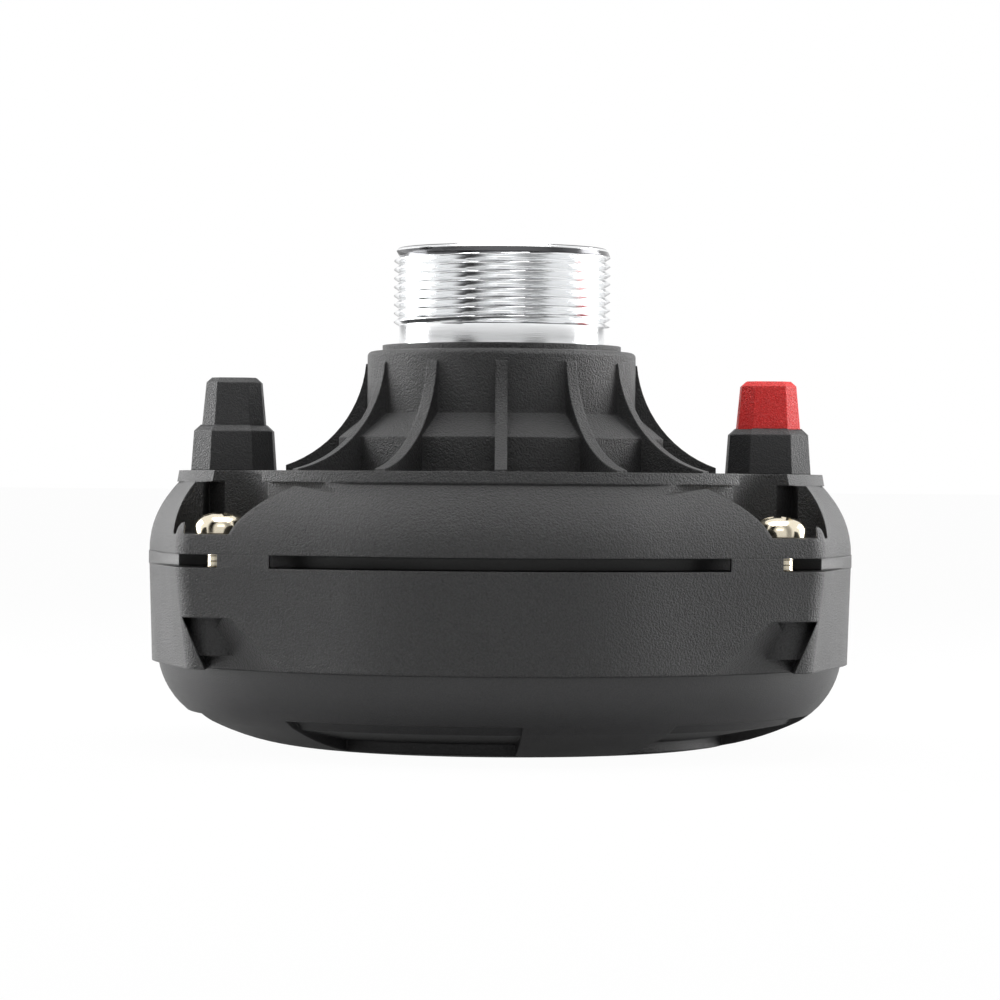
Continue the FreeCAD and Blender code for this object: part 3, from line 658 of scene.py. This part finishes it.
def baked(name, points, tree, values):
    """Run a tree on a mesh of points and keep the result as a plain mesh object."""
    seed_mesh = bpy.data.meshes.new(name + "_points")
    seed_mesh.from_pydata(points, [], [])
    seed = bpy.data.objects.new(name + "_points", seed_mesh)
    bpy.context.collection.objects.link(seed)
    modifier = seed.modifiers.new("tree", "NODES")
    modifier.node_group = tree
    for key, value in values.items():
        set_input(modifier, key, value)
    piece = bpy.data.objects.new(name, evaluated_mesh(seed))
    bpy.context.collection.objects.link(piece)
    bpy.data.objects.remove(seed)
    return piece


CORNERS = [(sx * SCREW_ACROSS, sy * SCREW_DEPTH) for sx in (-1, 1) for sy in (-1, 1)]
screw_points = [(x, y, SHANK_LOW) for x, y in CORNERS]
threads = baked("screw_threads", screw_points, screw_thread_tree(SCREW), {
    "Shank Radius": SHANK_RADIUS, "Ring Radius": RING_SIZE,
    "Pitch": SCREW_PITCH, "Rings": RING_COUNT})
smooth(threads)
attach(threads, "driver")
print("screw thread faces:", len(threads.data.polygons))

# %% [markdown]
# ## The screws themselves
# A pan head is a smooth dome, and the solid stands for it with three cones. One screw is turned
# here with its dome and a tapered cross recess, and a second tree sets a copy on each corner with
# its own random turn, because no two screws stop at the same angle.

# %% Pan-head screw
SEAT = 34.1 * MM
SHANK_FOOT = 18.1 * MM
HEAD_RADIUS = 4.1 * MM
HEAD_RIM = 0.9 * MM
HEAD_HEIGHT = 3.3 * MM
RECESS_DEPTH = 2.3 * MM
DOME_STEPS = 9
DOME_FULLNESS = 0.8          # below 1 the dome bulges past an ellipse
SCREW_STEPS = 48
HEAD_CHAMFER = 0.15 * MM
RECESS_CLEAR = 1.0 * MM      # how far the cutter stands above the head
ARM_TOP, HALF_TOP = 3.6 * MM, 0.8 * MM
ARM_FLOOR, HALF_FLOOR = 2.0 * MM, 0.5 * MM
LARGEST_TURN = math.radians(50)
TURN_SEED = 5
SCREW_SHARP = math.radians(32)


def turned_screw():
    """The screw as a closed solid of revolution at the origin, before its recess is cut."""
    rows = [(SHANK_FOOT - SEAT, SHANK_RADIUS), (-2 * HEAD_CHAMFER, SHANK_RADIUS),
            (0.0, SHANK_RADIUS), (0.0, HEAD_RADIUS - HEAD_CHAMFER), (HEAD_CHAMFER, HEAD_RADIUS)]
    for i in range(DOME_STEPS):
        turn = math.pi / 2 * i / DOME_STEPS
        height = HEAD_RIM + (HEAD_HEIGHT - HEAD_RIM) * math.sin(turn)
        rows.append((height, HEAD_RADIUS * math.cos(turn) ** DOME_FULLNESS))
    bm = bmesh.new()
    rings = [ring_of(bm, z, lambda angle, r=r: r, SCREW_STEPS) for z, r in rows]
    for low, high in zip(rings, rings[1:]):
        wall(bm, low, high)
    bm.faces.new(list(reversed(rings[0])))
    bm.faces.new(rings[-1])
    return mesh_object("turned_screw", bm)


def cross_cutter():
    """A tapered cross: wide arms at the top of the head, short ones at the recess floor."""
    bm = bmesh.new()
    sections = []
    for z, arm, half in ((HEAD_HEIGHT + RECESS_CLEAR, ARM_TOP, HALF_TOP),
                         (HEAD_HEIGHT - RECESS_DEPTH, ARM_FLOOR, HALF_FLOOR)):
        plan = [(arm, -half), (arm, half), (half, half), (half, arm),
                (-half, arm), (-half, half), (-arm, half), (-arm, -half),
                (-half, -half), (-half, -arm), (half, -arm), (half, -half)]
        sections.append([bm.verts.new((x, y, z)) for x, y in plan])
    top, floor_ring = sections
    wall(bm, floor_ring, top)
    bm.faces.new(top)
    bm.faces.new(list(reversed(floor_ring)))
    return mesh_object("cross_cutter", bm)


def corner_tree(material, pattern, seed):
    """Geometry Nodes: a copy of the pattern on each point, each with its own turn about Z."""
    tree = bpy.data.node_groups.new("corner_screws", "GeometryNodeTree")
    face = tree.interface
    face.new_socket("Geometry", in_out="INPUT", socket_type="NodeSocketGeometry")
    face.new_socket("Largest Turn", in_out="INPUT", socket_type="NodeSocketFloat")
    face.new_socket("Geometry", in_out="OUTPUT", socket_type="NodeSocketGeometry")
    nodes, links = tree.nodes, tree.links
    given, result = nodes.new("NodeGroupInput"), nodes.new("NodeGroupOutput")
    source = nodes.new("GeometryNodeObjectInfo")
    source.inputs["Object"].default_value = pattern
    turn = nodes.new("FunctionNodeRandomValue")
    turn.data_type = "FLOAT"
    turn.inputs["Seed"].default_value = seed
    about = nodes.new("ShaderNodeCombineXYZ")
    spread = nodes.new("GeometryNodeInstanceOnPoints")
    real = nodes.new("GeometryNodeRealizeInstances")
    paint = nodes.new("GeometryNodeSetMaterial")
    paint.inputs["Material"].default_value = material
    links.new(given.outputs["Largest Turn"], turn.inputs[3])
    links.new(turn.outputs[1], about.inputs["Z"])
    links.new(given.outputs["Geometry"], spread.inputs["Points"])
    links.new(source.outputs["Geometry"], spread.inputs["Instance"])
    links.new(about.outputs["Vector"], spread.inputs["Rotation"])
    links.new(spread.outputs["Instances"], real.inputs["Geometry"])
    links.new(real.outputs["Geometry"], paint.inputs["Geometry"])
    links.new(paint.outputs["Geometry"], result.inputs["Geometry"])
    return tree


screw, cutter = turned_screw(), cross_cutter()
cut = screw.modifiers.new("recess", "BOOLEAN")
cut.operation = "DIFFERENCE"
cut.solver = "EXACT"
cut.object = cutter
pattern = bpy.data.objects.new("screw_pattern", evaluated_mesh(screw))
bpy.context.collection.objects.link(pattern)
screws = baked("pan_head_screws", [(x, y, SEAT) for x, y in CORNERS],
               corner_tree(SCREW, pattern, TURN_SEED), {"Largest Turn": LARGEST_TURN})
for helper in (screw, cutter, pattern):
    bpy.data.objects.remove(helper)
smooth(screws, SCREW_SHARP)
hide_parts("housing_screws")
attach(screws, "driver")
print("screw faces:", len(screws.data.polygons))
